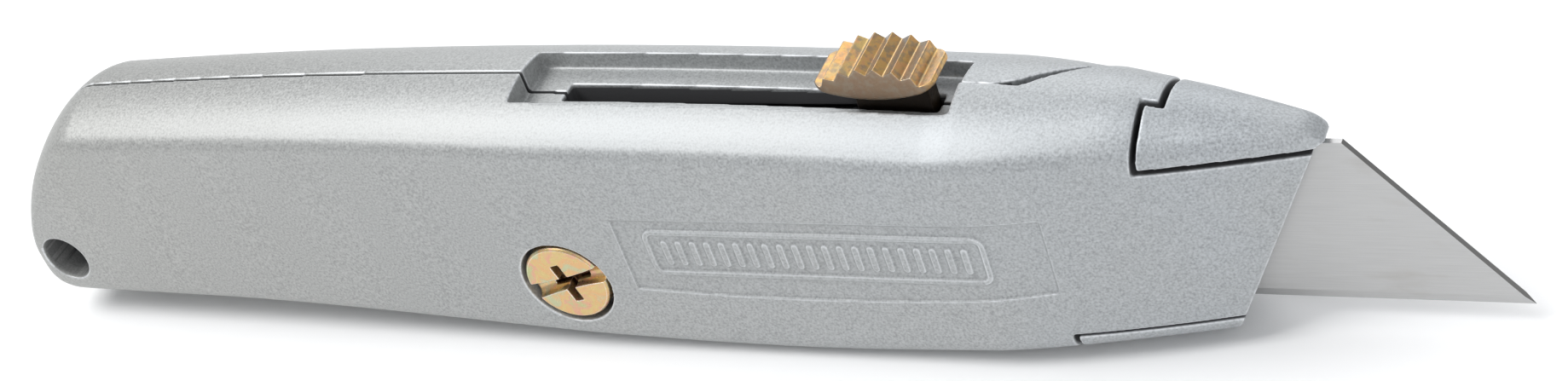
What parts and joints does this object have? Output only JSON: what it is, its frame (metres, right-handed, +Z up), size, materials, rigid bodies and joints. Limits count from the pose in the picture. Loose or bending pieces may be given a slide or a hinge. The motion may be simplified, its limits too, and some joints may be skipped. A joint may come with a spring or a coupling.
{
  "type": "retractable utility knife",
  "caption": "Retractable utility knife with a two-part die-cast handle, ridged thumb slider and a trapezoid blade that slides out of the nose.",
  "frame": {"origin": "below the middle of the knife with its blade out, level with the lowest point of its belly, in the plane of the blade", "axes": "+X along the knife towards the blade's point, +Z up through the spine and its slider, -Y towards the side with the screw head"},
  "size_m": [0.1698, 0.0182, 0.0322],
  "materials": {
    "silver_paint": "fine metallic grey enamel on a die casting, satin",
    "yellow_zinc": "yellow chromate plating with faint rainbow patches",
    "plain_casting": "bare die casting, matt",
    "spring_steel": "plain spring strip",
    "blade_steel": "ground carbon steel"
  },
  "bodies": {
    "handle": {"left_casing": "silver_paint", "spare_blade_1": "blade_steel", "spare_blade_2": "blade_steel", "spare_blade_3": "blade_steel"},
    "cover": {"right_casing": "silver_paint"},
    "screw": {"casing_screw": "yellow_zinc"},
    "carriage": {"blade_carrier": "plain_casting", "blade": "blade_steel", "leaf_spring": "spring_steel"},
    "button": {"thumb_button": "yellow_zinc"}
  },
  "joints": [
    {"name": "blade_slide", "type": "slide", "parent": "handle", "child": "carriage", "axis": [1, 0, 0], "range_m": [-0.032, 0]},
    {"name": "button_press", "type": "slide", "parent": "carriage", "child": "button", "axis": [0, 0, -1], "range_m": [0, 0.0012], "stiffness_N_per_m": 600, "springref_m": -0.0004, "deforming": ["leaf_spring"]},
    {"name": "casing_open", "type": "hinge", "parent": "handle", "child": "cover", "pos_m": [0.064, -0.0002, 0.012], "axis": [0, 0, 1], "range_deg": [0, 2.8]},
    {"name": "screw_out", "type": "slide", "parent": "cover", "child": "screw", "axis": [0, -1, 0], "range_m": [0, 0.016]}
  ]
}
